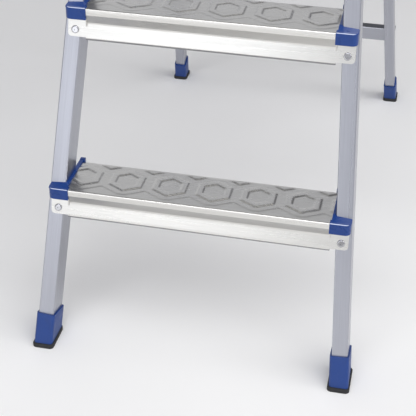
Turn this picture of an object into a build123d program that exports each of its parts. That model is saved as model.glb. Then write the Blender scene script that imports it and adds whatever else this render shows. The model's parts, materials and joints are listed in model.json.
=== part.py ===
"""Folding step ladder: three pressed treads, a flip-up platform and a guard hoop.

Millimetres, +Z up. The user climbs facing +Y, X runs across the ladder, and the origin is
on the floor in the middle of the four feet. The rear frame folds on two pins behind the
rail tops, and the platform flips up on two pins between the rails.
"""

from build123d import *
import math
import os

# ---------------------------------------------------------------- driving dimensions
step_pitch = 240.0          # height from one tread to the next, and from the floor to the first
tread_count = 3             # the fourth step is the platform
front_lean = 16.0           # degrees that the front frame leans back
rear_lean = 22.0            # degrees that the open rear frame leans the other way
taper = 3.88                # degrees that each rail runs inward going up

rail_width = 22.0           # front rail tube, across the ladder
rail_depth = 40.0           # front rail tube, front to back
rail_wall = 1.3
rail_corner = 1.6
tube_inner_corner = 0.4     # inside corners of the rail and leg tubes
first_inner_half = 187.3    # centre line to the rail's inner face, at the first tread
rail_bottom_up = 22.0       # where the rail tube starts and ends, measured up the lean
rail_top_up = 1288.0

leg_width = 18.0            # rear leg tube
leg_depth = 25.0
leg_wall = 1.2
leg_corner = 1.6
leg_top_up = -20.0          # where the leg tube starts and ends, measured from the hinge
leg_bottom_up = -1278.0

hinge_height = 1200.0       # pin that the rear frame folds on
hinge_back = 57.0           # its distance behind the front face of the rails
hinge_pin_radius = 4.0
platform_pin_radius = 4.0
running_gap = 0.05          # radial clearance of a pin that turns
hole_start = 2.0            # how far outside a wall its hole's cut starts
hole_depth = 8.0            # length of a cut through one wall
cross_cut = 400.0           # length of a cut right across the platform
pin_cut = 60.0              # length of a cut right across one rail or leg

sheet = 1.3                 # pressed sheet of treads and platform
nose_reach = 15.0           # tread nose in front of the rail's front face
tread_depth = 79.2
nose_height = 8.8
undercut_drop = 23.7        # tread top down to the bend where the apron starts
apron_drop = 43.3           # tread top to apron bottom, measured down the lean
ear_top_drop = 17.0
strip_width = 5.0           # plastic end cap between the tread's end and the rail
cap_drop = 17.2             # height of an end cap's front block
cap_proud = 1.2             # how far a cap stands above and in front of the sheet
cap_inset = 0.4             # how far a cap stops inside the rail's outer face
cap_wrap = 4.0              # how far its block runs behind the rail's front face
hook_reach = 2.2            # how far the block hooks inward over the sheet's nose
hook_depth = 9.0            # and how far back from the nose it does so
cap_corner = 8.0            # its rounded outer corner
collar_rise = 4.0           # slope from a cap's front edge up to the rail's inner corner
rib_rise = 2.4              # a cap's strip above the sheet
head_length = 6.0           # head across a strip's rear end
head_drop = 9.0
head_reach = 2.2            # how far the head reaches behind the sheet's corner
head_flare = 1.2            # how far the cap hooks behind the rail
strip_drop = 26.0

hexagon_pitch = 61.7        # embossed hexagons
hexagon_outer = 23.0        # centre to flat
hexagon_inner = 13.5
hexagon_raise = 0.9
first_hexagon_x = -168.6

platform_height = step_pitch * (tread_count + 1)
platform_pin_drop = 22.0    # pin below the platform's top
platform_reach = 246.0      # platform behind its pin
platform_skirt = 28.0
platform_gap = 1.5          # between the platform's sides and the rails
side_cap_width = 6.0

rest_bar_radius = 9.0
rest_bar_wall = 1.4
saddle_thickness = 5.0

hoop_top = 1560.0
hoop_radius = 11.0
hoop_wall = 1.4
hoop_bend = 62.0

sole_height = 6.0
shoe_wall = 2.6
shoe_length = 30.0
shoe_skirt = 24.0           # how far a shoe runs below the end of its tube, before it is cut level

front_line_y = -450.7       # line where the rails' front faces would meet the floor

# ---------------------------------------------------------------- worked out from them
front_tilt = math.radians(front_lean)
rear_tilt = math.radians(-rear_lean)
taper_angle = math.radians(taper)
slope_x = math.tan(taper_angle)
first_up = step_pitch / math.cos(front_tilt)
foot_inner_half = first_inner_half + first_up * slope_x
hinge_up = (hinge_height + hinge_back * math.sin(front_tilt)) / math.cos(front_tilt)
hinge_y = front_line_y + hinge_up * math.sin(front_tilt) + hinge_back * math.cos(front_tilt)

platform_pin_back = rail_depth / 2
platform_pin_height = platform_height - platform_pin_drop
platform_pin_up = (
    platform_pin_height + platform_pin_back * math.sin(front_tilt)
) / math.cos(front_tilt)
platform_pin_y = (
    front_line_y
    + platform_pin_up * math.sin(front_tilt)
    + platform_pin_back * math.cos(front_tilt)
)


def front_point(x, up, back):
    """Point of the front frame: up its lean, and back from the front face of the rails."""
    return Vector(
        x,
        front_line_y + up * math.sin(front_tilt) + back * math.cos(front_tilt),
        up * math.cos(front_tilt) - back * math.sin(front_tilt),
    )


def rear_point(x, up, back):
    """Point of the open rear frame, from its hinge axis: up is negative towards the feet."""
    return Vector(
        x,
        hinge_y + up * math.sin(rear_tilt) + back * math.cos(rear_tilt),
        hinge_height + up * math.cos(rear_tilt) - back * math.sin(rear_tilt),
    )


def inner_half(up):
    """Centre line to the inner face of a rail at a height up the lean."""
    return foot_inner_half - up * slope_x


def rail_centre(up):
    return inner_half(up) + rail_width / 2 / math.cos(taper_angle)


def leg_centre(up):
    """Centre line to the middle of a rear leg, at a distance above its hinge axis."""
    return rail_centre(hinge_up) - up * slope_x


def across(origin, tilt):
    """Plane across a right-hand rail or leg: x outward, y to the rear, z up its length."""
    up = (
        -math.sin(taper_angle),
        math.cos(taper_angle) * math.sin(tilt),
        math.cos(taper_angle) * math.cos(tilt),
    )
    out = (
        math.cos(taper_angle),
        math.sin(taper_angle) * math.sin(tilt),
        math.sin(taper_angle) * math.cos(tilt),
    )
    return Plane(origin=origin, x_dir=out, z_dir=up)


def rail_plane(up):
    return across(front_point(rail_centre(up), up, rail_depth / 2), front_tilt)


def leg_plane(up):
    return across(rear_point(leg_centre(up), up, 0), rear_tilt)


def beside_rail(up):
    """Plane down the middle of a right-hand rail: x to the rear, y up the rail, z outward."""
    level = rail_plane(up)
    return Plane(origin=level.origin, x_dir=level.y_dir, z_dir=level.x_dir)


def beside_leg(up):
    level = leg_plane(up)
    return Plane(origin=level.origin, x_dir=level.y_dir, z_dir=level.x_dir)


def length_between(low, high):
    """Length along a tapering member between two heights up the frame."""
    return (high - low) / math.cos(taper_angle)


front_face = Plane(
    origin=front_point(0, 0, 0),
    x_dir=(1, 0, 0),
    z_dir=(0, -math.cos(front_tilt), math.sin(front_tilt)),
)


def sideways(x, y, z):
    """Plane square to X at a point, for pins and rivets that run across the ladder."""
    return Plane(origin=(x, y, z), x_dir=(0, 1, 0), z_dir=(1, 0, 0))


def keep(piece, name):
    piece.part.label = name
    export_step(piece.part, f"parts/{name}.step")


def keep_pair(piece, name):
    """Write a right-hand piece and its mirror image for the left-hand side."""
    with BuildPart() as twin:
        mirror(piece.part, about=Plane.YZ)
    keep(piece, f"{name}_right")
    keep(twin, f"{name}_left")


os.makedirs("parts", exist_ok=True)
tread_numbers = range(1, tread_count + 1)

# ---------------------------------------------------------------- where the rivets sit
rivet_radius = 2.4
rivet_head_radius = 5.3
rivet_head_height = 2.0
rivet_dome = 1.7             # rounding of a head's rim
rivet_eye_radius = 1.2       # recess left in a head by the rivet's broken-off stem
rivet_eye_depth = 0.8
rivet_tail = 1.5             # how far a rivet reaches beyond the last wall it holds
ear_rivet_drop = 34.0
ear_rivet_inset = 3.6         # from the middle of the rail towards the ladder's middle
side_rivet_back = 16.0
side_rivet_drop = 14.0
head_rivet_back = 14.0       # rivets through the hinge heads into the rails
head_rivet_rises = (-22.0, 12.0)


def tread_up(number):
    """Height up the lean at which a tread's top plane meets the rail's front face."""
    return number * step_pitch / math.cos(front_tilt)


def ear_rivet_up(number):
    return tread_up(number) - ear_rivet_drop


def ear_rivet_x(number):
    return rail_centre(ear_rivet_up(number)) - ear_rivet_inset


def side_rivet_up(number):
    return tread_up(number) - side_rivet_drop


def side_rivet_point(number, inset):
    """Middle of the rivet through a tread's end, inset from the rail's inner face."""
    up = side_rivet_up(number)
    return front_point(inner_half(up) - inset, up, side_rivet_back)


head_rivet_spots = [(head_rivet_back - rail_depth / 2, rise) for rise in head_rivet_rises]

# ---------------------------------------------------------------- front rails
with BuildPart() as front_rail:
    with BuildSketch(rail_plane(rail_bottom_up)):
        RectangleRounded(rail_width, rail_depth, rail_corner)
        RectangleRounded(
            rail_width - 2 * rail_wall,
            rail_depth - 2 * rail_wall,
            tube_inner_corner,
            mode=Mode.SUBTRACT,
        )
    extrude(amount=length_between(rail_bottom_up, rail_top_up))
    for number in tread_numbers:
        with BuildSketch(front_face.offset(hole_start)):
            with Locations((ear_rivet_x(number), ear_rivet_up(number))):
                Circle(rivet_radius)
        extrude(amount=-hole_depth, mode=Mode.SUBTRACT)
        with BuildSketch(sideways(*side_rivet_point(number, hole_start))):
            Circle(rivet_radius)
        extrude(amount=hole_depth, mode=Mode.SUBTRACT)
    pin_hole_x = inner_half(platform_pin_up) - hole_start
    with BuildSketch(sideways(pin_hole_x, platform_pin_y, platform_pin_height)):
        Circle(platform_pin_radius)
    extrude(amount=hole_depth, mode=Mode.SUBTRACT)
    with BuildSketch(beside_rail(hinge_up).offset(rail_width / 2 + hole_start)):
        with Locations(*head_rivet_spots):
            Circle(rivet_radius)
    extrude(amount=-hole_depth, mode=Mode.SUBTRACT)
keep_pair(front_rail, "front_rail")

# Solid bar of the rail's outline, used only to trim what fits against it.
with BuildPart() as rail_bar:
    with BuildSketch(rail_plane(rail_bottom_up)):
        RectangleRounded(rail_width, rail_depth, rail_corner)
    extrude(amount=length_between(rail_bottom_up, rail_top_up))

# The space that a rear leg sweeps as it folds against the rail, with clearance.
leg_room = 0.4
leg_room_behind = 40.0
leg_room_top_up = hinge_up - 50
leg_room_up = hinge_up - 1200
with BuildPart() as folded_leg_room:
    room_origin = front_point(rail_centre(leg_room_up), leg_room_up, hinge_back)
    with BuildSketch(across(room_origin, front_tilt)):
        with Locations((0, leg_room_behind / 2)):
            Rectangle(leg_width + 2 * leg_room, leg_depth + 2 * leg_room + leg_room_behind)
    extrude(amount=length_between(leg_room_up, leg_room_top_up))

# ---------------------------------------------------------------- treads and their end caps
lip_drop = 20.0             # rear lip of a tread
roll_radius = 4.0           # rolled bottom edge of the apron
roll_lip = 7.0
ear_corner = 5.0
ear_inset = 4.6             # ear stops this far inside the rail's outer face
flange_margin = 4.0         # end flange, inset from the sheet's front and rear
flange_height = 26.0
flange_middle_drop = 14.0


def tread_profile(number):
    """Outer line of a tread's section in Y and Z, from the rear lip to the rolled apron edge."""
    nose = front_point(0, tread_up(number), 0) - Vector(0, nose_reach, 0)
    bend_up = tread_up(number) - (undercut_drop + 0.5) / math.cos(front_tilt)
    bend = front_point(0, bend_up, -sheet)
    bottom = front_point(0, tread_up(number) - apron_drop - roll_radius, -sheet)
    lip_end = front_point(0, tread_up(number) - apron_drop - roll_radius, roll_lip)
    corners = [
        (nose.Y + tread_depth, nose.Z - lip_drop),
        (nose.Y + tread_depth, nose.Z),
        (nose.Y, nose.Z),
        (nose.Y, nose.Z - nose_height),
        (bend.Y, bend.Z),
        (bottom.Y, bottom.Z),
        (lip_end.Y, lip_end.Z),
    ]
    return corners, [2.5, 3.0, 2.0, 5.0, roll_radius]


def tread_half(number):
    """Half of the sheet's length between the end caps."""
    return inner_half(tread_up(number)) - strip_width


for number in tread_numbers:
    nose = front_point(0, tread_up(number), 0) - Vector(0, nose_reach, 0)
    half = tread_half(number)
    ear_half = rail_centre(ear_rivet_up(number)) + rail_width / 2 - ear_inset
    corners, radii = tread_profile(number)
    with BuildPart() as tread:
        with BuildSketch(Plane.YZ.offset(-half)):
            with BuildLine():
                outline = FilletPolyline(*corners, radius=radii)
                offset(outline, amount=sheet, side=Side.LEFT)
            make_face()
        extrude(amount=2 * half)
        # end flanges, riveted to the rails through the caps
        for side in (-1, 1):
            with BuildSketch(Plane.YZ.offset(side * half)):
                with Locations((nose.Y + tread_depth / 2, nose.Z - flange_middle_drop)):
                    Rectangle(tread_depth - 2 * flange_margin, flange_height)
            extrude(amount=-side * sheet)
        # ears of the apron, over the front faces of the rails
        ear_middle = tread_up(number) - (ear_top_drop + apron_drop) / 2
        with BuildSketch(front_face):
            with Locations((0, ear_middle)):
                RectangleRounded(2 * ear_half, apron_drop - ear_top_drop, ear_corner)
            with Locations((0, ear_middle + ear_corner)):
                Rectangle(2 * half, apron_drop - ear_top_drop, mode=Mode.SUBTRACT)
        extrude(amount=sheet)
        with BuildSketch(front_face.offset(-hole_start)):
            for side in (-1, 1):
                with Locations((side * ear_rivet_x(number), ear_rivet_up(number))):
                    Circle(rivet_radius)
        extrude(amount=hole_depth, mode=Mode.SUBTRACT)
        rivet = side_rivet_point(number, 0)
        with BuildSketch(sideways(-half - hole_start, rivet.Y, rivet.Z)):
            Circle(rivet_radius)
        extrude(amount=2 * (half + hole_start), mode=Mode.SUBTRACT)
        # embossed hexagon rings
        first_ring = math.ceil((-half - first_hexagon_x) / hexagon_pitch + 0.4)
        last_ring = math.floor((half - first_hexagon_x) / hexagon_pitch - 0.4)
        with BuildSketch(Plane.XY.offset(nose.Z)):
            for ring in range(first_ring, last_ring + 1):
                with Locations((first_hexagon_x + ring * hexagon_pitch, nose.Y + tread_depth / 2)):
                    RegularPolygon(hexagon_outer, 6, major_radius=False, rotation=30)
                    RegularPolygon(
                        hexagon_inner, 6, major_radius=False, rotation=30, mode=Mode.SUBTRACT
                    )
        extrude(amount=hexagon_raise)
    keep(tread, f"tread_{number}")

    # The end cap: a block over the nose end and the rail's front face, a collar that slopes
    # up from it to the rail, a strip along the tread's end, and a head across its rear end.
    outer_x = inner_half(tread_up(number)) + rail_width - cap_inset
    block_rear_y = nose.Y + nose_reach + cap_wrap
    strip_end_y = nose.Y + tread_depth + head_length
    with BuildPart() as tread_cap:
        with BuildSketch(Plane.XY.offset(nose.Z + cap_proud)):
            with BuildLine():
                FilletPolyline(
                    (half, block_rear_y),
                    (half, nose.Y + hook_depth),
                    (half - hook_reach, nose.Y + hook_depth),
                    (half - hook_reach, nose.Y - cap_proud),
                    (outer_x, nose.Y - cap_proud),
                    (outer_x, block_rear_y),
                    close=True,
                    radius=[0.5, 0.5, 0.5, 0.5, cap_corner, 0.5],
                )
            make_face()
        extrude(amount=-cap_drop)
        upper_edges = faces().sort_by(Axis.Z)[-1].edges()
        fillet(upper_edges.filter_by(lambda edge: edge.center().Y < block_rear_y - 1), 1.2)
        lower_edges = faces().sort_by(Axis.Z)[0].edges()
        fillet(lower_edges.filter_by(lambda edge: edge.center().Y < block_rear_y - 1), 1.0)
        for x, rise in ((half, collar_rise), (outer_x - 1, cap_proud + 0.4)):
            with BuildSketch(Plane.YZ.offset(x)):
                with BuildLine():
                    Polyline(
                        (nose.Y + 1.5, nose.Z),
                        (nose.Y + 1.5, nose.Z + cap_proud - 0.2),
                        (block_rear_y, nose.Z + rise),
                        (block_rear_y, nose.Z),
                        close=True,
                    )
                make_face()
        loft()
        with BuildSketch(Plane.YZ.offset(half)):
            with BuildLine():
                FilletPolyline(
                    (nose.Y + 6, nose.Z + cap_proud),
                    (block_rear_y, nose.Z + rib_rise),
                    (strip_end_y, nose.Z + rib_rise),
                    (strip_end_y, nose.Z - strip_drop),
                    (nose.Y + 23, nose.Z - strip_drop),
                    (nose.Y + 10, nose.Z - cap_drop + 3),
                    close=True,
                    radius=[1.0, 4.0, 1.8, 4.0, 6.0, 1.0],
                )
            make_face()
        extrude(amount=strip_width + head_flare)
        with BuildSketch(Plane.XY.offset(nose.Z + rib_rise + 0.6)):
            with BuildLine():
                FilletPolyline(
                    (half - head_reach, strip_end_y),
                    (half - head_reach, nose.Y + tread_depth + leg_room),
                    (half + strip_width + head_flare, nose.Y + tread_depth + leg_room),
                    (half + strip_width + head_flare, strip_end_y),
                    close=True,
                    radius=[1.2, 0.5, 0.5, 1.2],
                )
            make_face()
        extrude(amount=-head_drop)
        add(rail_bar.part, mode=Mode.SUBTRACT)
        add(folded_leg_room.part, mode=Mode.SUBTRACT)
        with BuildSketch(Plane.YZ.offset(half)):
            with BuildLine():
                covered = FilletPolyline(*corners, radius=radii)
                Line(covered @ 1, covered @ 0)
            make_face()
        extrude(amount=-hook_reach - 1, mode=Mode.SUBTRACT)
        with BuildSketch(sideways(half - hole_start, rivet.Y, rivet.Z)):
            Circle(rivet_radius)
        extrude(amount=strip_width + 2 * hole_start, mode=Mode.SUBTRACT)
    keep_pair(tread_cap, f"tread_cap_{number}")

    with BuildPart() as tread_rivets:
        for side in (-1, 1):
            ear_spot = (side * ear_rivet_x(number), ear_rivet_up(number))
            with BuildSketch(front_face.offset(sheet)):
                with Locations(ear_spot):
                    Circle(rivet_head_radius)
            extrude(amount=rivet_head_height)
            head_face = front_face.offset(sheet + rivet_head_height)
            head_middle = head_face.from_local_coords(ear_spot)
            rim = edges().filter_by(GeomType.CIRCLE).sort_by_distance(head_middle)[0]
            fillet(rim, rivet_dome)
            with BuildSketch(head_face):
                with Locations(ear_spot):
                    Circle(rivet_eye_radius)
            extrude(amount=-rivet_eye_depth, mode=Mode.SUBTRACT)
            with BuildSketch(front_face.offset(sheet)):
                with Locations(ear_spot):
                    Circle(rivet_radius)
            extrude(amount=-sheet - rail_wall - rivet_tail)
            with BuildSketch(front_face.offset(-rail_wall)):
                with Locations(ear_spot):
                    Circle(rivet_radius + 1)
            extrude(amount=-rivet_tail)
            inner_x = side * (half - sheet)
            with BuildSketch(sideways(inner_x, rivet.Y, rivet.Z)):
                Circle(rivet_head_radius)
            extrude(amount=-side * rivet_head_height)
            with BuildSketch(sideways(inner_x, rivet.Y, rivet.Z)):
                Circle(rivet_radius)
            extrude(amount=side * (sheet + strip_width + rail_wall + 3.6))
    keep(tread_rivets, f"tread_rivets_{number}")


# ---------------------------------------------------------------- feet
floor_cut = 120.0           # block that trims a shoe level with the top of its sole
sole_corner = 6.0
groove_pitch = 7.0
groove_width = 2.0
groove_depth = 1.6


def make_foot(name, plane_at, low, width, depth, tilt, sole_centre):
    """A moulded shoe round the end of a rail or leg, and the ribbed sole under it."""
    with BuildPart() as shoe:
        with BuildSketch(plane_at(low - shoe_skirt)):
            RectangleRounded(width + 2 * shoe_wall, depth + 2 * shoe_wall, rail_corner + shoe_wall)
        extrude(amount=shoe_skirt + shoe_length)
        with BuildSketch(plane_at(low)):
            RectangleRounded(width, depth, rail_corner)
        extrude(amount=shoe_length + shoe_skirt, mode=Mode.SUBTRACT)
        with BuildSketch(Plane.XY.offset(sole_height)):
            with Locations((sole_centre.X, sole_centre.Y)):
                Rectangle(floor_cut, floor_cut)
        extrude(amount=-floor_cut, mode=Mode.SUBTRACT)
    keep_pair(shoe, f"{name}_shoe")

    sole_x = width + 2 * shoe_wall + 4
    sole_y = (depth + 2 * shoe_wall) / math.cos(tilt) + 5
    with BuildPart() as sole:
        with BuildSketch(Plane.XY):
            with Locations((sole_centre.X, sole_centre.Y)):
                RectangleRounded(sole_x, sole_y, sole_corner)
        extrude(amount=sole_height)
        chamfer(faces().sort_by(Axis.Z)[-1].edges(), 1.2)
        grooves = int((sole_y - 2 * sole_corner) / groove_pitch)
        with BuildSketch(Plane.XY):
            with Locations((sole_centre.X, sole_centre.Y)):
                with GridLocations(0, groove_pitch, 1, grooves):
                    Rectangle(sole_x + 2, groove_width)
        extrude(amount=groove_depth, mode=Mode.SUBTRACT)
    keep_pair(sole, f"{name}_sole")


half_sole = sole_height / 2
front_sole_up = (half_sole + rail_depth / 2 * math.sin(front_tilt)) / math.cos(front_tilt)
rear_sole_up = (half_sole - hinge_height) / math.cos(rear_tilt)
make_foot(
    "front",
    rail_plane,
    rail_bottom_up,
    rail_width,
    rail_depth,
    front_tilt,
    front_point(rail_centre(front_sole_up), front_sole_up, rail_depth / 2),
)
make_foot(
    "rear",
    leg_plane,
    leg_bottom_up,
    leg_width,
    leg_depth,
    rear_tilt,
    rear_point(leg_centre(rear_sole_up), rear_sole_up, 0),
)

# ---------------------------------------------------------------- hinge heads and pins
head_wall = 2.6
head_bottom_up = hinge_up - 30
head_top_up = rail_top_up + 4
cheek_radius = 13.0
boss_radius = 15.5
boss_start_up = head_top_up + 26
boss_end_up = boss_start_up + 16
leg_side_gap = 1.0
slot_reach = 80.0
slot_height = 120.0
hoop_seat_up = head_top_up + 4
head_width = rail_width + 2 * head_wall
head_depth = rail_depth + 2 * head_wall


with BuildPart() as hinge_head:
    with BuildSketch(rail_plane(head_bottom_up)):
        RectangleRounded(head_width, head_depth, rail_corner + head_wall)
    extrude(amount=length_between(head_bottom_up, head_top_up))
    with BuildSketch(rail_plane(head_top_up)):
        RectangleRounded(head_width, head_depth, rail_corner + head_wall)
    with BuildSketch(rail_plane(boss_start_up)):
        Circle(boss_radius)
    loft()
    with BuildSketch(rail_plane(boss_start_up)):
        Circle(boss_radius)
    extrude(amount=length_between(boss_start_up, boss_end_up))
    with BuildSketch(beside_rail(hinge_up)):
        with Locations((hinge_back - rail_depth / 2, 0)):
            Circle(cheek_radius)
        with Locations((hinge_back - rail_depth / 2 - cheek_radius, 0)):
            Rectangle(2 * cheek_radius, 2 * cheek_radius)
    extrude(amount=head_width / 2, both=True)
    # slot that the top of the rear leg turns in
    with BuildSketch(beside_rail(hinge_up)):
        with Locations((rail_depth / 2 + head_wall + slot_reach / 2, 0)):
            Rectangle(slot_reach, slot_height)
    extrude(amount=leg_width / 2 + leg_side_gap, both=True, mode=Mode.SUBTRACT)
    add(rail_bar.part, mode=Mode.SUBTRACT)
    with BuildSketch(rail_plane(hoop_seat_up)):
        Circle(hoop_radius)
    extrude(amount=length_between(hoop_seat_up, boss_end_up + 1), mode=Mode.SUBTRACT)
    with BuildSketch(sideways(rail_centre(hinge_up), hinge_y, hinge_height)):
        Circle(hinge_pin_radius)
    extrude(amount=pin_cut / 2, both=True, mode=Mode.SUBTRACT)
    with BuildSketch(beside_rail(hinge_up).offset(rail_width / 2 - 1)):
        with Locations(*head_rivet_spots):
            Circle(rivet_radius)
    extrude(amount=hole_depth, mode=Mode.SUBTRACT)
keep_pair(hinge_head, "hinge_head")

with BuildPart() as head_rivets:
    with BuildSketch(beside_rail(hinge_up).offset(head_width / 2)):
        with Locations(*head_rivet_spots):
            Circle(rivet_head_radius)
    extrude(amount=rivet_head_height, taper=30)
    with BuildSketch(beside_rail(hinge_up).offset(head_width / 2)):
        with Locations(*head_rivet_spots):
            Circle(rivet_radius)
    extrude(amount=-head_wall - rail_wall - rivet_tail)
keep_pair(head_rivets, "head_rivets")

pin_half = head_width / 2 + 0.6
pin_head_height = 2.2
with BuildPart() as hinge_pin:
    with BuildSketch(sideways(leg_centre(0), hinge_y, hinge_height)):
        Circle(hinge_pin_radius)
    extrude(amount=pin_half, both=True)
    for side in (-1, 1):
        with BuildSketch(sideways(leg_centre(0) + side * pin_half, hinge_y, hinge_height)):
            Circle(hinge_pin_radius + 2.8)
        extrude(amount=side * pin_head_height)
    pin_ends = faces().sort_by(Axis.X)
    fillet(pin_ends[0].edges() + pin_ends[-1].edges(), 1.2)
keep_pair(hinge_pin, "hinge_pin")

# ---------------------------------------------------------------- guard hoop and its grip
hoop_top_up = (hoop_top - hoop_radius + rail_depth / 2 * math.sin(front_tilt)) / math.cos(
    front_tilt
)
hoop_start_up = hoop_seat_up + 1
hoop_plane = front_face.offset(-rail_depth / 2)
with BuildPart() as hoop:
    with BuildLine(hoop_plane):
        FilletPolyline(
            (rail_centre(hoop_start_up), hoop_start_up),
            (rail_centre(hoop_top_up), hoop_top_up),
            (-rail_centre(hoop_top_up), hoop_top_up),
            (-rail_centre(hoop_start_up), hoop_start_up),
            radius=hoop_bend,
        )
    with BuildSketch(rail_plane(hoop_start_up)):
        Circle(hoop_radius)
        Circle(hoop_radius - hoop_wall, mode=Mode.SUBTRACT)
    sweep()
keep(hoop, "guard_hoop")

bend_tangent = hoop_bend * math.tan((math.pi / 2 - taper_angle) / 2)
grip_half = rail_centre(hoop_top_up) - bend_tangent - 2
grip_wall = 3.2
hoop_crown = front_point(0, hoop_top_up, rail_depth / 2)
with BuildPart() as grip:
    with BuildSketch(sideways(-grip_half, hoop_crown.Y, hoop_crown.Z)):
        Circle(hoop_radius + grip_wall)
        Circle(hoop_radius, mode=Mode.SUBTRACT)
    extrude(amount=2 * grip_half)
    for end in (faces().sort_by(Axis.X)[0], faces().sort_by(Axis.X)[-1]):
        fillet(end.outer_wire().edges(), 1.5)
keep(grip, "hoop_grip")

# ---------------------------------------------------------------- rear frame
rest_bar_height = platform_height - platform_skirt - saddle_thickness - rest_bar_radius
rest_bar_up = (rest_bar_height - hinge_height) / math.cos(rear_tilt)
rest_bar = rear_point(0, rest_bar_up, 0)
bolt_radius = 3.0
brace_ups = {"middle": -660.0, "lower": -1130.0}
brace_height = 32.0
brace_flange = 12.0
brace_wall = 1.5
brace_rivet_offset = 8.0


def behind_leg(up):
    """Plane on the rear faces of the legs, looking from behind: x across, y up the legs."""
    origin = rear_point(0, up, leg_depth / 2)
    normal = Vector(0, math.cos(rear_tilt), -math.sin(rear_tilt))
    return Plane(origin=origin, x_dir=(-1, 0, 0), z_dir=normal)


def brace_rivet_spots(up):
    """Places of a brace's four rivets on its own plane."""
    spots = []
    for rise in (-brace_rivet_offset, brace_rivet_offset):
        x = leg_centre(up + rise)
        spots += [(-x, rise), (x, rise)]
    return spots


with BuildPart() as rear_leg:
    with BuildSketch(leg_plane(leg_bottom_up)):
        RectangleRounded(leg_width, leg_depth, leg_corner)
        RectangleRounded(
            leg_width - 2 * leg_wall,
            leg_depth - 2 * leg_wall,
            tube_inner_corner,
            mode=Mode.SUBTRACT,
        )
    extrude(amount=length_between(leg_bottom_up, leg_top_up))
    with BuildSketch(sideways(leg_centre(rest_bar_up), rest_bar.Y, rest_bar.Z)):
        Circle(bolt_radius)
    extrude(amount=pin_cut / 2, both=True, mode=Mode.SUBTRACT)
    for up in brace_ups.values():
        with BuildSketch(behind_leg(up).offset(hole_start)):
            with Locations(*brace_rivet_spots(up)):
                Circle(rivet_radius)
        extrude(amount=-hole_depth, mode=Mode.SUBTRACT)
keep_pair(rear_leg, "rear_leg")

with BuildPart() as leg_bar:
    with BuildSketch(leg_plane(leg_bottom_up)):
        RectangleRounded(leg_width, leg_depth, leg_corner)
    extrude(amount=length_between(leg_bottom_up, leg_top_up))

knuckle_plug = 33.0         # how far the knuckle's plug reaches into the leg
with BuildPart() as knuckle:
    with BuildSketch(beside_leg(0)):
        Circle(leg_depth / 2)
        with Locations((0, leg_top_up / 2)):
            Rectangle(leg_depth, -leg_top_up)
    extrude(amount=leg_width / 2, both=True)
    with BuildSketch(leg_plane(leg_top_up + 1)):
        RectangleRounded(
            leg_width - 2 * leg_wall, leg_depth - 2 * leg_wall, tube_inner_corner
        )
    extrude(amount=-knuckle_plug)
    with BuildSketch(sideways(leg_centre(0), hinge_y, hinge_height)):
        Circle(hinge_pin_radius + running_gap)
    extrude(amount=pin_cut / 2, both=True, mode=Mode.SUBTRACT)
keep_pair(knuckle, "leg_knuckle")

rest_bar_half = leg_centre(rest_bar_up)
bar_plug = 18.0
with BuildPart() as bar:
    with BuildSketch(sideways(-rest_bar_half, rest_bar.Y, rest_bar.Z)):
        Circle(rest_bar_radius)
    extrude(amount=2 * rest_bar_half)
    with BuildSketch(sideways(-rest_bar_half + bar_plug, rest_bar.Y, rest_bar.Z)):
        Circle(rest_bar_radius - rest_bar_wall)
    extrude(amount=2 * (rest_bar_half - bar_plug), mode=Mode.SUBTRACT)
    with BuildSketch(sideways(-rest_bar_half, rest_bar.Y, rest_bar.Z)):
        Circle(bolt_radius)
    extrude(amount=2 * rest_bar_half, mode=Mode.SUBTRACT)
    add(leg_bar.part, mode=Mode.SUBTRACT)
    mirrored_leg = mirror(leg_bar.part, about=Plane.YZ, mode=Mode.PRIVATE)
    add(mirrored_leg, mode=Mode.SUBTRACT)
keep(bar, "rest_bar")

bolt_reach = leg_width / 2 + 1.4
bolt_grip = 8.0             # how far a bolt reaches into the bar beyond the leg
with BuildPart() as bolts:
    for side in (-1, 1):
        outer = side * (leg_centre(rest_bar_up) + bolt_reach)
        with BuildSketch(sideways(outer, rest_bar.Y, rest_bar.Z)):
            Circle(bolt_radius)
        extrude(amount=-side * (2 * bolt_reach + bolt_grip))
        with BuildSketch(sideways(outer, rest_bar.Y, rest_bar.Z)):
            RegularPolygon(5.0, 6, major_radius=False)
        extrude(amount=side * 4)
keep(bolts, "rest_bar_bolts")

for place, up in brace_ups.items():
    brace_half = leg_centre(up) + leg_width / 2 - 1
    section_plane = Plane(
        origin=rear_point(-brace_half, up, leg_depth / 2),
        x_dir=(0, math.cos(rear_tilt), -math.sin(rear_tilt)),
        z_dir=(1, 0, 0),
    )
    with BuildPart() as brace:
        with BuildSketch(section_plane):
            with BuildLine():
                channel = FilletPolyline(
                    (brace_flange, brace_height / 2),
                    (0, brace_height / 2),
                    (0, -brace_height / 2),
                    (brace_flange, -brace_height / 2),
                    radius=2.5,
                )
                offset(channel, amount=brace_wall, side=Side.LEFT)
            make_face()
        extrude(amount=2 * brace_half)
        with BuildSketch(behind_leg(up).offset(brace_wall + hole_start)):
            with Locations(*brace_rivet_spots(up)):
                Circle(rivet_radius)
        extrude(amount=-hole_depth, mode=Mode.SUBTRACT)
    keep(brace, f"rear_brace_{place}")

    with BuildPart() as brace_rivets:
        for spot in brace_rivet_spots(up):
            with BuildSketch(behind_leg(up).offset(brace_wall)):
                with Locations(spot):
                    Circle(rivet_head_radius)
            extrude(amount=rivet_head_height)
            with BuildSketch(behind_leg(up).offset(brace_wall)):
                with Locations(spot):
                    Circle(rivet_radius)
            extrude(amount=-brace_wall - leg_wall - rivet_tail)
    keep(brace_rivets, f"brace_rivets_{place}")

# ---------------------------------------------------------------- platform
platform_rivet_reaches = (70.0, 170.0)
platform_rivet_drop = 15.0
platform_rivet_stand = 0.3  # the skirt is not square to the rivet, so its head stands off
platform_nose_y = front_line_y + platform_height * math.tan(front_tilt) - nose_reach
platform_rear_y = platform_pin_y + platform_reach


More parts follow.
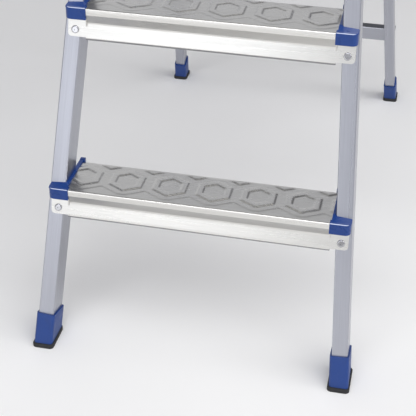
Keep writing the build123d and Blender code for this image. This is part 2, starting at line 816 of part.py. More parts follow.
def platform_side(y):
    """Outer half width of the platform: it tapers, so that it fits between the rails when up."""
    nose_up = (platform_nose_y - front_line_y) * math.sin(
        front_tilt
    ) + platform_height * math.cos(front_tilt)
    nose_side = inner_half(nose_up) - platform_gap
    rear_side = inner_half(platform_pin_up + platform_reach) - platform_gap
    share = (y - platform_nose_y) / (platform_rear_y - platform_nose_y)
    return nose_side + (rear_side - nose_side) * share


def pan_side(y):
    return platform_side(y) - side_cap_width


def platform_rivet_points():
    """Where rivets hold the side caps to the pan: on the inner face of its right-hand skirt."""
    points = []
    for reach in platform_rivet_reaches:
        y = platform_pin_y + reach
        x = pan_side(y) - sheet - platform_rivet_stand
        points.append(Vector(x, y, platform_height - platform_rivet_drop))
    return points


platform_rows = 5
row_pitch = 46.0
saddle_x = 70.0
saddle_width = 26.0
with BuildPart() as platform_pan:
    with BuildSketch(Plane.XY.offset(platform_height)):
        with BuildLine():
            Polyline(
                (-pan_side(platform_nose_y), platform_nose_y),
                (pan_side(platform_nose_y), platform_nose_y),
                (pan_side(platform_rear_y), platform_rear_y),
                (-pan_side(platform_rear_y), platform_rear_y),
                close=True,
            )
        make_face()
    extrude(amount=-platform_skirt)
    fillet(faces().sort_by(Axis.Z)[-1].edges(), 3.0)
    offset(amount=-sheet, openings=faces().sort_by(Axis.Z)[0])
    with BuildSketch(sideways(0, platform_pin_y, platform_pin_height)):
        Circle(platform_pin_radius + running_gap)
    extrude(amount=cross_cut / 2, both=True, mode=Mode.SUBTRACT)
    for point in platform_rivet_points():
        with BuildSketch(sideways(0, point.Y, point.Z)):
            Circle(rivet_radius)
        extrude(amount=cross_cut / 2, both=True, mode=Mode.SUBTRACT)
    with BuildSketch(Plane.XY.offset(platform_height + hole_start)):
        with Locations((-saddle_x, rest_bar.Y), (saddle_x, rest_bar.Y)):
            Circle(rivet_radius)
    extrude(amount=-hole_depth, mode=Mode.SUBTRACT)
    platform_middle_y = (platform_nose_y + platform_rear_y) / 2
    with BuildSketch(Plane.XY.offset(platform_height)):
        for row in range(platform_rows):
            row_y = platform_middle_y + (row - (platform_rows - 1) / 2) * row_pitch
            with Locations((0, row_y)):
                with GridLocations(hexagon_pitch, 0, 2 + row % 2, 1):
                    RegularPolygon(hexagon_outer, 6, major_radius=False, rotation=30)
                    RegularPolygon(
                        hexagon_inner, 6, major_radius=False, rotation=30, mode=Mode.SUBTRACT
                    )
    extrude(amount=hexagon_raise)
keep(platform_pan, "platform_pan")

cap_front_y = platform_nose_y - cap_proud
cap_rear_y = platform_rear_y + cap_proud
with BuildPart() as side_cap:
    with BuildSketch(Plane.XY.offset(platform_height + cap_proud)):
        with BuildLine():
            Polyline(
                (pan_side(cap_front_y), cap_front_y),
                (platform_side(cap_front_y), cap_front_y),
                (platform_side(cap_rear_y), cap_rear_y),
                (pan_side(cap_rear_y), cap_rear_y),
                close=True,
            )
        make_face()
    extrude(amount=-platform_skirt - cap_proud)
    outer_face = faces().sort_by(SortBy.AREA)[-2:].sort_by(Axis.X)[-1]
    fillet(outer_face.edges(), 1.8)
    with BuildSketch(sideways(0, platform_pin_y, platform_pin_height)):
        Circle(platform_pin_radius + running_gap)
    extrude(amount=cross_cut / 2, mode=Mode.SUBTRACT)
    for point in platform_rivet_points():
        with BuildSketch(sideways(0, point.Y, point.Z)):
            Circle(rivet_radius)
        extrude(amount=cross_cut / 2, mode=Mode.SUBTRACT)
keep_pair(side_cap, "platform_side_cap")

bar_gap = 0.5               # between the rest bar and the saddle that stands on it
stop_drop = 5.0             # how far the stop behind the bar reaches below its middle
saddle_front = 17.0
stop_thickness = 7.0
saddle_rivet_length = 14.0
saddle_underside = rest_bar_height + rest_bar_radius + bar_gap
saddle_inside_top = platform_height - sheet
stop_front_y = rest_bar.Y + rest_bar_radius + bar_gap
with BuildPart() as saddle:
    with BuildSketch(Plane.YZ.offset(saddle_x - saddle_width / 2)):
        with BuildLine():
            Polyline(
                (rest_bar.Y - saddle_front, saddle_inside_top),
                (stop_front_y, saddle_inside_top),
                (stop_front_y, saddle_underside),
                (rest_bar.Y - saddle_front, saddle_underside),
                close=True,
            )
        make_face()
    extrude(amount=saddle_width)
    with BuildSketch(Plane.XY.offset(saddle_inside_top)):
        with Locations((saddle_x, rest_bar.Y)):
            Circle(rivet_radius)
    extrude(amount=-saddle_rivet_length, mode=Mode.SUBTRACT)
keep_pair(saddle, "platform_saddle")

with BuildPart() as bar_stop:
    with BuildSketch(Plane.YZ.offset(saddle_x - saddle_width / 2)):
        with BuildLine():
            Polyline(
                (stop_front_y, saddle_inside_top),
                (stop_front_y + stop_thickness, saddle_inside_top),
                (stop_front_y + stop_thickness, rest_bar_height - stop_drop),
                (stop_front_y, rest_bar_height - stop_drop),
                close=True,
            )
        make_face()
    extrude(amount=saddle_width)
keep_pair(bar_stop, "bar_stop")

with BuildPart() as platform_rivets:
    for side in (-1, 1):
        for point in platform_rivet_points():
            with BuildSketch(sideways(side * point.X, point.Y, point.Z)):
                Circle(rivet_head_radius)
            extrude(amount=-side * rivet_head_height)
            with BuildSketch(sideways(side * point.X, point.Y, point.Z)):
                Circle(rivet_radius)
            extrude(amount=side * (sheet + side_cap_width - 0.4))
        with BuildSketch(Plane.XY.offset(platform_height)):
            with Locations((side * saddle_x, rest_bar.Y)):
                Circle(rivet_head_radius)
        extrude(amount=rivet_head_height, taper=30)
        with BuildSketch(Plane.XY.offset(platform_height)):
            with Locations((side * saddle_x, rest_bar.Y)):
                Circle(rivet_radius)
        extrude(amount=-sheet - saddle_rivet_length)
keep(platform_rivets, "platform_rivets")

with BuildPart() as platform_pins:
    for side in (-1, 1):
        inner_end = side * (pan_side(platform_pin_y) - sheet - 0.5)
        outer_end = side * (inner_half(platform_pin_up) + rail_wall + rivet_tail)
        with BuildSketch(sideways(inner_end, platform_pin_y, platform_pin_height)):
            Circle(platform_pin_radius)
        extrude(amount=outer_end - inner_end)
        with BuildSketch(sideways(inner_end, platform_pin_y, platform_pin_height)):
            Circle(platform_pin_radius + 3)
        extrude(amount=-side * pin_head_height)
keep(platform_pins, "platform_pins")
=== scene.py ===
"""Looks of the folding step ladder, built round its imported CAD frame.

Metres, +Z up, in the frame's own axes: +X to the climber's right, +Y to the rear. The
pressed treads and the platform top are remade here with their embossed hexagons, and
every other CAD piece keeps its shape and gets a material.
"""

import json
import math

import bmesh
import bpy
import numpy as np
from mathutils import Matrix, Vector


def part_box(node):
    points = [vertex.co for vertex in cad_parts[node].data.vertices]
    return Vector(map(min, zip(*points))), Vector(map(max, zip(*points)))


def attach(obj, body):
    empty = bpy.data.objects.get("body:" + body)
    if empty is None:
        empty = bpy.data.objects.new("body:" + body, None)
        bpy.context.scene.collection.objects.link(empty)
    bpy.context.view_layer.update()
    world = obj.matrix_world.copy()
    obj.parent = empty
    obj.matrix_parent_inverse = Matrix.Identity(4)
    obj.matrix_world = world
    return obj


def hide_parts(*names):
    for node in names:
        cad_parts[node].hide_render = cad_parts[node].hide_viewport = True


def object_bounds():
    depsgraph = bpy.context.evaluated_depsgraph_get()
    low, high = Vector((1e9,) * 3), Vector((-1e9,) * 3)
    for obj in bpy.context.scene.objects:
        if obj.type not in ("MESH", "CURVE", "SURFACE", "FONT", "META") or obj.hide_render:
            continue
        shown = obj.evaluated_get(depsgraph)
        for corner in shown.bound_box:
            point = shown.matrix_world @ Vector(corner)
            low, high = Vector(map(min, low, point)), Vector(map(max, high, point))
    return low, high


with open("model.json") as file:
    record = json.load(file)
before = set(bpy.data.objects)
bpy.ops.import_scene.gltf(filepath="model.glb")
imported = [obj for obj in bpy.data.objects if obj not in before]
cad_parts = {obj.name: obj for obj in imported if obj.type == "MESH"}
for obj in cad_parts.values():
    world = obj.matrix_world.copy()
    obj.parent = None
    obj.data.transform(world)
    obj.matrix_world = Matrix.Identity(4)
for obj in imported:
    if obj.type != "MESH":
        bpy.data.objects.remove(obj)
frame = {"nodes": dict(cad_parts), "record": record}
cad_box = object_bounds()

MM = 0.001
LEAN = math.radians(16.0)          # front frame, leaning back
REAR_LEAN = math.radians(-22.0)    # open rear frame, leaning the other way
TAPER = math.radians(3.88)         # each rail and leg runs inward going up

# ------------------------------------------------------------------- pressed sheet
SHEET = 1.3 * MM
NOSE_REACH = 15.0 * MM             # nose in front of the rails' front faces
NOSE_HEIGHT = 8.8 * MM
REAR_LIP = 20.0 * MM
BEND_DROP = 24.2 * MM              # where the undercut meets the apron
EAR_TOP_DROP = 17.0 * MM
APRON_DROP = 43.3 * MM
ROLL_RADIUS = 4.0 * MM
ROLL_LIP = 7.0 * MM
REAR_RADIUS = 2.5 * MM             # bends of a tread's sheet, from the rear lip round to the roll
NOSE_RADIUS = 2.0 * MM
APRON_RADIUS = 5.0 * MM
HEM_DROP = 44.6 * MM               # below this the rolled edge gets a painted shade
EAR_CORNER = 5.0 * MM
FLANGE_DROP = 27.0 * MM
FLANGE_FRONT = 4.0 * MM            # where an end flange starts behind the nose
FLANGE_REAR = 5.0 * MM             # and where it ends, in front of the sheet's rear
PLATE_BEVEL = 0.25 * MM
UNDERCUT_SLOPE = -0.35             # faces that look down more than this are the undercut

HEXAGON_PITCH = 61.7 * MM
HEXAGON_OUTER = 24.6 * MM          # centre to flat
HEXAGON_INNER = 13.5 * MM
FIRST_HEXAGON_X = -168.6 * MM
ROW_PITCH = 50.0 * MM
TREAD_ROWS = (0, 1)
CAD_EMBOSS = 0.9 * MM              # rise of the plain rings in the CAD sheet
EMBOSS = 1.0 * MM
EMBOSS_SLOPE = 2.7 * MM            # width of a ring's sloping wall
WEB_RISE = 0.45 * MM               # the sheet between the rings, above the plain nose strip
WEB_SLOPE = 1.8 * MM
EDGE_FADE = 2.0 * MM               # the relief dies away this far from the edge of the flat
SHARP_ANGLE = math.radians(50)     # steeper edges than this are drawn sharp
NOSE_STRIP = 6.5 * MM
ROW_BEHIND = 2.8 * MM              # a tread's row of rings, behind its middle
CELL = 1.25 * MM                   # mesh spacing where the sheet is embossed
CAP_HEAD_REACH = 2.2 * MM          # end of a tread's cap, inside the end of its sheet
PLAIN_CELL = 3.0 * MM
ARC_CELL = 0.7 * MM

TRAY_CELL = 1.5 * MM               # the platform's pan
TRAY_RADIUS = 3.0 * MM
TRAY_SKIRT = 28.0 * MM
PLATFORM_ROWS = (-2, -1, 0, 1, 2)
PLATFORM_ROW_PITCH = 46.0 * MM
RIM_STEPS = 5
SKIRT_STEPS = 6


def smooth_step(value):
    """0 below 0, 1 above 1, and a smooth rise between them."""
    share = np.clip(value, 0, 1)
    return share * share * (3 - 2 * share)


def hexagon_reach(x, y):
    """Centre-to-flat size of the hexagon round the origin, a corner to the rear, through x, y."""
    slant = y * math.cos(math.radians(30))
    return np.maximum(np.abs(x), np.maximum(np.abs(x / 2 + slant), np.abs(x / 2 - slant)))


def row_reach(x, y, row, row_pitch):
    """Centre-to-flat size, at x, y, of the nearest hexagon of a row: odd rows stand half-way."""
    shift = (row % 2) * HEXAGON_PITCH / 2
    from_centre = (x - shift + HEXAGON_PITCH / 2) % HEXAGON_PITCH - HEXAGON_PITCH / 2
    return hexagon_reach(from_centre, y - row * row_pitch)


def emboss_height(x, y, rows, row_pitch):
    """Rise of rows of rings at x, y, measured from the centre of a hexagon of row 0."""
    height = np.zeros(np.broadcast(x, y).shape)
    for row in rows:
        reach = row_reach(x, y, row, row_pitch)
        outside = smooth_step((HEXAGON_OUTER - reach) / EMBOSS_SLOPE)
        inside = smooth_step((reach - HEXAGON_INNER) / EMBOSS_SLOPE)
        height = np.maximum(height, outside * inside)
    return height * EMBOSS


def web_height(x, y, from_nose):
    """Rise of the sheet round the rings: it ends at the row whose rings run off the nose."""
    reach = row_reach(x, y, -1, ROW_PITCH)
    behind = smooth_step((from_nose - NOSE_STRIP) / WEB_SLOPE)
    return WEB_RISE * behind * smooth_step((reach - HEXAGON_OUTER) / WEB_SLOPE)


def rounded_line(corners, radii, cells):
    """Points along an open line whose inner corners are arcs, with a spacing for each run."""
    corners = [np.array(corner) for corner in corners]
    points = []
    start = corners[0]
    for index, cell in enumerate(cells):
        here, there = corners[index], corners[index + 1]
        along = (there - here) / np.linalg.norm(there - here)
        if index < len(radii):
            onward = corners[index + 2] - there
            onward = onward / np.linalg.norm(onward)
            turn = math.acos(float(np.clip(along @ onward, -1, 1)))
            setback = radii[index] * math.tan(turn / 2)
            end = there - along * setback
        else:
            end = there
        count = max(2, round(np.linalg.norm(end - start) / cell))
        points += [start + (end - start) * step / count for step in range(count)]
        if index < len(radii):
            side = 1 if along[0] * onward[1] - along[1] * onward[0] > 0 else -1
            centre = end + side * radii[index] * np.array((-along[1], along[0]))
            spoke = end - centre
            arc_steps = max(4, round(radii[index] * turn / ARC_CELL))
            for step in range(arc_steps):
                angle = side * turn * step / arc_steps
                cosine, sine = math.cos(angle), math.sin(angle)
                turned = (spoke[0] * cosine - spoke[1] * sine, spoke[0] * sine + spoke[1] * cosine)
                points.append(centre + np.array(turned))
            start = there + onward * setback
    points.append(corners[-1])
    return np.array(points)


def outward(points):
    """Unit normals of a Y, Z line that runs forward over the top, pointing out of the sheet."""
    along = np.gradient(points, axis=0)
    along /= np.linalg.norm(along, axis=1)[:, None]
    return np.stack([along[:, 1], -along[:, 0]], axis=1)


def sheet_mesh(name, columns, outer, inner):
    """Closed mesh between two grids of points: outer and inner, rows by columns by X, Y, Z."""
    rows = outer.shape[0]
    count = rows * columns
    points = np.concatenate([outer.reshape(-1, 3), inner.reshape(-1, 3)])
    faces = []
    for row in range(rows - 1):
        for column in range(columns - 1):
            a = row * columns + column
            b, c, d = a + 1, a + columns + 1, a + columns
            faces.append((a, b, c, d))
            faces.append((a + count, d + count, c + count, b + count))
    for row in range(rows - 1):
        for column in (0, columns - 1):
            a = row * columns + column
            d = a + columns
            rim = (a, d, d + count, a + count)
            faces.append(rim if column == 0 else rim[::-1])
    for column in range(columns - 1):
        for row in (0, rows - 1):
            a = row * columns + column
            b = a + 1
            rim = (a, a + count, b + count, b)
            faces.append(rim if row == 0 else rim[::-1])
    mesh = bpy.data.meshes.new(name)
    mesh.from_pydata(points.tolist(), [], faces)
    mesh.shade_smooth()
    return mesh


def add_object(name, mesh):
    made = bpy.data.objects.new(name, mesh)
    bpy.context.scene.collection.objects.link(made)
    return made


def plate(outline, thickness, bevel, place):
    """Bmesh of a flat plate, its thickness towards -Z: the first side of its outline stays sharp."""
    made = bmesh.new()
    top = made.faces.new([made.verts.new((x, y, 0)) for x, y in outline])
    seam = sum((Vector((x, y, 0)) for x, y in outline[:2]), Vector()) / 2
    if top.normal.z < 0:
        top.normal_flip()
    grown = bmesh.ops.extrude_face_region(made, geom=[top])
    lowered = [item for item in grown["geom"] if isinstance(item, bmesh.types.BMVert)]
    bmesh.ops.translate(made, verts=lowered, vec=(0, 0, -thickness))
    bmesh.ops.recalc_face_normals(made, faces=made.faces)
    top_edges = []
    for edge in made.edges:
        middle = (edge.verts[0].co + edge.verts[1].co) / 2
        if all(abs(vert.co.z) < 1e-7 for vert in edge.verts) and (middle - seam).length > 1e-5:
            top_edges.append(edge)
    bmesh.ops.bevel(made, geom=top_edges, offset=bevel, segments=2, affect="EDGES")
    bmesh.ops.transform(made, matrix=place, verts=made.verts)
    return made


def join(target, *parts):
    """Adds the parts, each a bmesh, to a mesh, and turns every face outward."""
    whole = bmesh.new()
    whole.from_mesh(target)
    for part in parts:
        scratch = bpy.data.meshes.new("scratch")
        part.to_mesh(scratch)
        whole.from_mesh(scratch)
        bpy.data.meshes.remove(scratch)
        part.free()
    bmesh.ops.recalc_face_normals(whole, faces=whole.faces)
    whole.to_mesh(target)
    whole.free()


def rounded_corner(x, y, radius, from_angle):
    """Points of a quarter turn about x, y that starts at an angle in degrees."""
    steps = 6
    angles = [math.radians(from_angle + 90 * step / steps) for step in range(steps + 1)]
    return [(x + radius * math.cos(angle), y + radius * math.sin(angle)) for angle in angles]


def front_plane(drop, proud):
    """Y, Z of a point on the rails' front plane, from a tread's nose: down the lean, and out."""
    return (
        NOSE_REACH - drop * math.sin(LEAN) - proud * math.cos(LEAN),
        -drop * math.cos(LEAN) + proud * math.sin(LEAN),
    )


def embossed_grid(line, xs, row_centre, first_x):
    """Outer and inner grids of a sheet bent along a Y, Z line, embossed where it lies level."""
    normals = outward(line)
    level = np.abs(normals[:, 1] - 1) < 1e-6
    flat_front, flat_rear = line[level, 0].min(), line[level, 0].max()
    x, y = np.meshgrid(xs, line[:, 0])
    edge = np.minimum(y - flat_front, flat_rear - y) / EDGE_FADE
    rings = emboss_height(x - first_x, y - row_centre, TREAD_ROWS, ROW_PITCH)
    web = web_height(x - first_x, y - row_centre, y)
    rise = (rings + web) * smooth_step(edge) * level[:, None]
    z = np.repeat(line[:, 1][:, None], len(xs), axis=1) + rise
    outer = np.stack([x, y, z], axis=2)
    inner_line = line - normals * SHEET
    inner = np.stack(
        [x, np.repeat(inner_line[:, :1], len(xs), axis=1), inner_line[:, 1][:, None] + rise], axis=2
    )
    return outer, inner


def pressed_tread(number):
    """One tread: embossed top, nose, undercut, apron with a rolled edge, ears and end flanges."""
    low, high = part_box(f"tread_{number}")
    nose = Vector((0, low.y, high.z - CAD_EMBOSS))
    depth = high.y - low.y
    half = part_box(f"tread_cap_{number}_right")[0].x + CAP_HEAD_REACH
    corners = [
        (depth, -REAR_LIP),
        (depth, 0),
        (0, 0),
        (0, -NOSE_HEIGHT),
        front_plane(BEND_DROP, SHEET),
        front_plane(APRON_DROP + ROLL_RADIUS, SHEET),
        front_plane(APRON_DROP + ROLL_RADIUS, -ROLL_LIP),
    ]
    radii = [REAR_RADIUS, NOSE_RADIUS, NOSE_RADIUS, APRON_RADIUS, ROLL_RADIUS]
    cells = [PLAIN_CELL, CELL] + [PLAIN_CELL] * 4
    line = rounded_line(corners, radii, cells)
    xs = np.linspace(-half, half, round(2 * half / CELL) + 1)
    outer, inner = embossed_grid(line, xs, depth / 2 + ROW_BEHIND, FIRST_HEXAGON_X)
    mesh = sheet_mesh(f"tread_{number}_sheet", len(xs), outer, inner)

    ear_half = high.x
    ear = [(half, -APRON_DROP), (half, -EAR_TOP_DROP)]
    ear += rounded_corner(ear_half - EAR_CORNER, -EAR_TOP_DROP - EAR_CORNER, EAR_CORNER, 0)[::-1]
    ear += rounded_corner(ear_half - EAR_CORNER, -APRON_DROP + EAR_CORNER, EAR_CORNER, 270)[::-1]
    start_y, start_z = front_plane(0, SHEET)
    on_front = Matrix.Translation((0, start_y, start_z)) @ Matrix.Rotation(
        math.pi / 2 - LEAN, 4, "X"
    )
    flange_rear = depth - FLANGE_REAR
    flange = [
        (FLANGE_FRONT, -SHEET),
        (flange_rear, -SHEET),
        (flange_rear, -FLANGE_DROP),
        (FLANGE_FRONT, -FLANGE_DROP),
    ]
    plates = []
    for side in (-1, 1):
        plates.append(plate([(side * x, y) for x, y in ear], SHEET, PLATE_BEVEL, on_front))
        at_end = Matrix.Translation((side * half, 0, 0)) @ Matrix(
            ((0, 0, side, 0), (1, 0, 0, 0), (0, 1, 0, 0), (0, 0, 0, 1))
        )
        plates.append(plate(flange, SHEET, PLATE_BEVEL, at_end))
    join(mesh, *plates)
    for face in mesh.polygons:            # slot 0 is the sheet, 1 its hem and 2 its undercut, both painted darker as shade
        from_rail = face.center.y - NOSE_REACH
        drop = -from_rail * math.sin(LEAN) - face.center.z * math.cos(LEAN)
        under_nose = face.normal.z < UNDERCUT_SLOPE and face.center.y < NOSE_REACH
        if drop > HEM_DROP:
            face.material_index = 1
        elif under_nose and NOSE_HEIGHT < -face.center.z < BEND_DROP:
            face.material_index = 2
    mesh.transform(Matrix.Translation(nose))
    mesh.set_sharp_from_angle(angle=SHARP_ANGLE)
    tread = add_object(f"tread_{number}_sheet", mesh)
    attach(tread, "front_frame")
    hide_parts(f"tread_{number}")
    return tread


def tray_skin(sides, rows, level, radius, rise):
    """Grid over a tray's top and loops of points down its rim, for one face of its sheet."""
    shares = np.linspace(-1, 1, round(2 * float(np.max(sides)) / TRAY_CELL) + 1)
    x = sides[:, None] * shares[None, :]
    y = np.repeat(rows[:, None], len(shares), axis=1)
    grid = np.stack([x, y, rise(x, y) + level], axis=2)
    count_y, count_x = x.shape
    walk = [(0, column, 0, -1) for column in range(count_x)]
    walk += [(row, count_x - 1, 1, 0) for row in range(count_y)]
    walk += [(count_y - 1, column, 0, 1) for column in range(count_x)[::-1]]
    walk += [(row, 0, -1, 0) for row in range(count_y)[::-1]]
    rim = {}
    for row, column, out_x, out_y in walk:
        before = rim.get((row, column), (0, 0))
        rim[(row, column)] = (before[0] + out_x, before[1] + out_y)
    places = list(rim)
    edge = np.array([grid[place] for place in places])
    out = np.array([(*rim[place], 0) for place in places], dtype=float)
    loops = []
    for step in range(1, RIM_STEPS + 1):
        angle = math.pi / 2 * step / RIM_STEPS
        down = np.array((0, 0, radius * (1 - math.cos(angle))))
        loops.append(edge + out * radius * math.sin(angle) - down)
    foot = loops[-1].copy()
    foot[:, 2] = -TRAY_SKIRT
    loops += [loops[-1] + (foot - loops[-1]) * step / SKIRT_STEPS for step in range(1, SKIRT_STEPS)]
    loops.append(foot)
    return grid, places, np.array(loops)


def tray_faces(grid, places, loops, start, flip):
    """Faces of one skin whose points start at an index: the grid, then the loops."""
    count_y, count_x = grid.shape[:2]
    faces = []
    for row in range(count_y - 1):
        for column in range(count_x - 1):
            a = start + row * count_x + column
            faces.append((a, a + 1, a + count_x + 1, a + count_x))
    rings = [[start + row * count_x + column for row, column in places]]
    first = start + count_y * count_x
    for loop in range(len(loops)):
        rings.append([first + loop * len(places) + index for index in range(len(places))])
    for upper, lower in zip(rings, rings[1:]):
        for index in range(len(places)):
            onward = (index + 1) % len(places)
            faces.append((upper[index], lower[index], lower[onward], upper[onward]))
    return [face[::-1] for face in faces] if flip else faces, rings[-1]


def embossed_platform():
    """The platform's pan: a tapered tray with rows of embossed hexagons on its top."""
    low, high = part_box("platform_pan")
    top = high.z - CAD_EMBOSS
    front_half = high.x
    rear_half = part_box("platform_side_cap_right")[0].x
    rows = np.arange(round((high.y - low.y - 2 * TRAY_RADIUS) / TRAY_CELL) + 1) * TRAY_CELL
    rows = low.y + TRAY_RADIUS + rows * (high.y - low.y - 2 * TRAY_RADIUS) / rows[-1]
    share = (rows - low.y) / (high.y - low.y)
    sides = front_half + (rear_half - front_half) * share - TRAY_RADIUS
    middle = (low.y + high.y) / 2

    def rise(x, y):
        edge = (sides[:, None] - np.abs(x)) / EDGE_FADE
        rings = emboss_height(
            x - HEXAGON_PITCH / 2, y - middle, PLATFORM_ROWS, PLATFORM_ROW_PITCH
        )
        return rings * smooth_step(edge)

    outer = tray_skin(sides, rows, 0, TRAY_RADIUS, rise)
    inner = tray_skin(sides, rows, -SHEET, TRAY_RADIUS - SHEET, rise)
    outer_count = outer[0].shape[0] * outer[0].shape[1] + outer[2].shape[0] * outer[2].shape[1]
    faces, outer_foot = tray_faces(*outer, 0, False)
    inner_faces, inner_foot = tray_faces(*inner, outer_count, True)
    faces += inner_faces
    for index in range(len(outer_foot)):
        onward = (index + 1) % len(outer_foot)
        faces.append(
            (outer_foot[index], inner_foot[index], inner_foot[onward], outer_foot[onward])
        )
    points = [part.reshape(-1, 3) for skin in (outer, inner) for part in (skin[0], skin[2])]
    mesh = bpy.data.meshes.new("platform_sheet")
    mesh.from_pydata(np.concatenate(points).tolist(), [], faces)
    mesh.shade_smooth()
    mesh.transform(Matrix.Translation((0, 0, top)))
    mesh.set_sharp_from_angle(angle=SHARP_ANGLE)
    platform = add_object("platform_sheet", mesh)
    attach(platform, "platform")
    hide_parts("platform_pan")
    return platform


# ------------------------------------------------------------------- materials
HIGHLIGHT_EDGE_NORMAL = Vector((0, -0.72, 0.69))     # of the upper front edges, where a highlight line is painted
FINE = 0.35 * MM                           # cell across the lines of drawn metal
RAIL_GRAIN = (FINE, FINE, 90 * MM)         # the third size is along the lines
RAIL_STREAK = (6 * MM, 6 * MM, 300 * MM)
SHEET_GRAIN = (0.30 * MM, 0.30 * MM, 24 * MM)
SHEET_STREAK = (2.4 * MM, 2.4 * MM, 150 * MM)
FLOW_CLOUD = (18 * MM, 30 * MM, 18 * MM)   # flow marks of moulded plastic
FLOW_TURN = (0.3, 0.2, 0.5)
ACROSS = (0, math.pi / 2, 0)               # turns a metal's lines to run along X


def new_material(name, **settings):
    """A node material with constants set on its shader's sockets: its node tree and shader."""
    made = bpy.data.materials.new(name)
    made.use_nodes = True
    shader = made.node_tree.nodes["Principled BSDF"]
    for key, value in settings.items():
        shader.inputs[key.replace("_", " ")].default_value = value
    return made, made.node_tree, shader


def add_node(tree, kind, **inputs):
    made = tree.nodes.new(kind)
    for key, value in inputs.items():
        made.inputs[key.replace("_", " ")].default_value = value
    return made


def placed(tree, turn, cell):
    """Frame coordinates turned by Euler angles, then counted in cells of a size along each axis."""
    source = add_node(tree, "ShaderNodeTexCoord")
    turned = add_node(tree, "ShaderNodeMapping", Rotation=turn)
    counted = add_node(tree, "ShaderNodeMapping", Scale=[1 / size for size in cell])
    tree.links.new(source.outputs["Object"], turned.inputs["Vector"])
    tree.links.new(turned.outputs["Vector"], counted.inputs["Vector"])
    return counted.outputs["Vector"]


def noise(tree, vector, detail=3.0, roughness=0.5, distortion=0.0):
    made = add_node(
        tree,
        "ShaderNodeTexNoise",
        Scale=1.0,
        Detail=detail,
        Roughness=roughness,
        Distortion=distortion,
    )
    tree.links.new(vector, made.inputs["Vector"])
    return made.outputs["Fac"]


def ramp(tree, factor, *stops):
    """Colours or greys against a factor, as (position, value) stops."""
    made = tree.nodes.new("ShaderNodeValToRGB")
    line = made.color_ramp
    while len(line.elements) < len(stops):
        line.elements.new(0.5)
    for element, (position, value) in zip(line.elements, stops):
        element.position = position
        element.color = (*value, 1) if isinstance(value, tuple) else (value, value, value, 1)
    tree.links.new(factor, made.inputs["Fac"])
    return made.outputs["Color"]


def dot_product(tree, vector, axis):
    """Share of a vector socket that lies along a fixed axis."""
    made = add_node(tree, "ShaderNodeVectorMath")
    made.operation = "DOT_PRODUCT"
    made.inputs[1].default_value = axis
    tree.links.new(vector, made.inputs[0])
    return made.outputs["Value"]


def blend_colours(tree, factor, first, second):
    """Mixes two colours, each a socket or a value, by a factor."""
    made = tree.nodes.new("ShaderNodeMix")
    made.data_type = "RGBA"
    tree.links.new(factor, made.inputs["Factor"])
    for socket, value in ((made.inputs[6], first), (made.inputs[7], second)):
        if isinstance(value, tuple):
            socket.default_value = (*value, 1)
        else:
            tree.links.new(value, socket)
    return made.outputs[2]


def bumped(tree, shader, height, distance):
    bump = add_node(tree, "ShaderNodeBump", Strength=1.0, Distance=distance)
    tree.links.new(height, bump.inputs["Height"])
    tree.links.new(bump.outputs["Normal"], shader.inputs["Normal"])


def tinted(colour, share):
    return tuple(channel * share for channel in colour)


def satin_metal(name, colour, turn, grain, streak, gloss, depth):
    """Metal with lines along its third axis: grain and streak are cell sizes on each axis."""
    made, tree, shader = new_material(name, Metallic=1.0)
    lines = noise(tree, placed(tree, turn, grain), detail=4.0, roughness=0.6)
    clouds = noise(tree, placed(tree, turn, streak), detail=3.0)
    light_lines = ramp(tree, lines, (0.3, tinted(colour, 0.90)), (0.7, tinted(colour, 1.08)))
    dull_lines = ramp(tree, lines, (0.3, tinted(colour, 0.86)), (0.7, tinted(colour, 1.02)))
    tree.links.new(
        blend_colours(tree, clouds, light_lines, dull_lines), shader.inputs["Base Color"]
    )
    low, high = gloss
    tree.links.new(ramp(tree, clouds, (0.3, low), (0.7, high)), shader.inputs["Roughness"])
    bumped(tree, shader, lines, depth)
    return made


def rolled_sheet(name, colour, gloss):
    """Sheet metal whose rolling lines run along X."""
    return satin_metal(name, colour, ACROSS, SHEET_GRAIN, SHEET_STREAK, gloss, 0.010 * MM)


def moulded_plastic(name, colour, gloss, texture_size, depth, edge=None, **settings):
    """Moulded plastic: flow marks, a fine surface and, if a colour is given, a painted highlight
    along its upper front edges.
    """
    made, tree, shader = new_material(name, **settings)
    flow = noise(tree, placed(tree, FLOW_TURN, FLOW_CLOUD), distortion=0.6)
    fine = noise(tree, placed(tree, (0, 0, 0), (texture_size,) * 3), detail=2.0)
    shade = ramp(tree, flow, (0.3, tinted(colour, 0.86)), (0.7, tinted(colour, 1.14)))
    speck = ramp(tree, fine, (0.35, tinted(colour, 0.92)), (0.65, tinted(colour, 1.06)))
    mixed = blend_colours(tree, flow, shade, speck)
    if edge:
        # painted highlight: faces turned like the upper front edge take the lighter edge colour
        source = add_node(tree, "ShaderNodeTexCoord")
        facing = dot_product(tree, source.outputs["Normal"], HIGHLIGHT_EDGE_NORMAL)
        painted_highlight = ramp(tree, facing, (0.86, 0.0), (0.96, 1.0))
        mixed = blend_colours(tree, painted_highlight, mixed, edge)
    tree.links.new(mixed, shader.inputs["Base Color"])
    low, high = gloss
    tree.links.new(ramp(tree, flow, (0.35, low), (0.65, high)), shader.inputs["Roughness"])
    bumped(tree, shader, fine, depth)
    return made


def paint(name, material):
    """Gives a CAD node its material."""
    slots = frame["nodes"][name].data.materials
    slots.clear()
    slots.append(material)


rail_colour = (0.47, 0.48, 0.53)
sheet_colour = (0.745, 0.735, 0.708)
blue = (0.008, 0.044, 0.215)

member_turns = {
    "front_rail_right": (LEAN, TAPER, 0),
    "front_rail_left": (LEAN, -TAPER, 0),
    "rear_leg_right": (REAR_LEAN, TAPER, 0),
    "rear_leg_left": (REAR_LEAN, -TAPER, 0),
}
for member, turn in member_turns.items():
    paint(
        member,
        satin_metal(
            f"extruded_{member}",
            rail_colour,
            turn,
            RAIL_GRAIN,
            RAIL_STREAK,
            (0.27, 0.36),
            0.012 * MM,
        ),
    )

